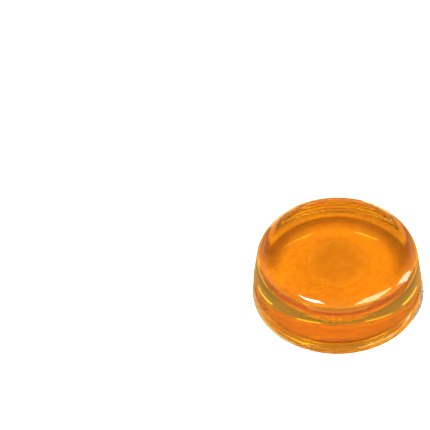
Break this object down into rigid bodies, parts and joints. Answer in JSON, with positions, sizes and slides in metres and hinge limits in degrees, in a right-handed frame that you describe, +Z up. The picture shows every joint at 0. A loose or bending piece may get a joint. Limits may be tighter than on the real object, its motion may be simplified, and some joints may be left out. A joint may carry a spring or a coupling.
{
  "type": "rosin cake",
  "caption": "Round cake of clear amber rosin with drafted wall, rounded shoulder and thin foot skirt, glued to a thin woven cloth, for rubbing onto bow hair.",
  "frame": {"origin": "centre of the cloth's underside, where the cake rests", "axes": "+Z up through the centre of the cake's top; the cake is round about +Z, so +X and +Y are free"},
  "size_m": [0.0474, 0.0474, 0.0173],
  "materials": {
    "amber_rosin": "cast clear resin, polished by the mould",
    "clear_glue": "dried clear glue, the spot that holds the cloth",
    "backing_weave": "plain-woven undyed cotton"
  },
  "bodies": {
    "root": {"rosin_block": "amber_rosin", "adhesive_film": "clear_glue", "backing_cloth": "backing_weave"}
  },
  "joints": []
}
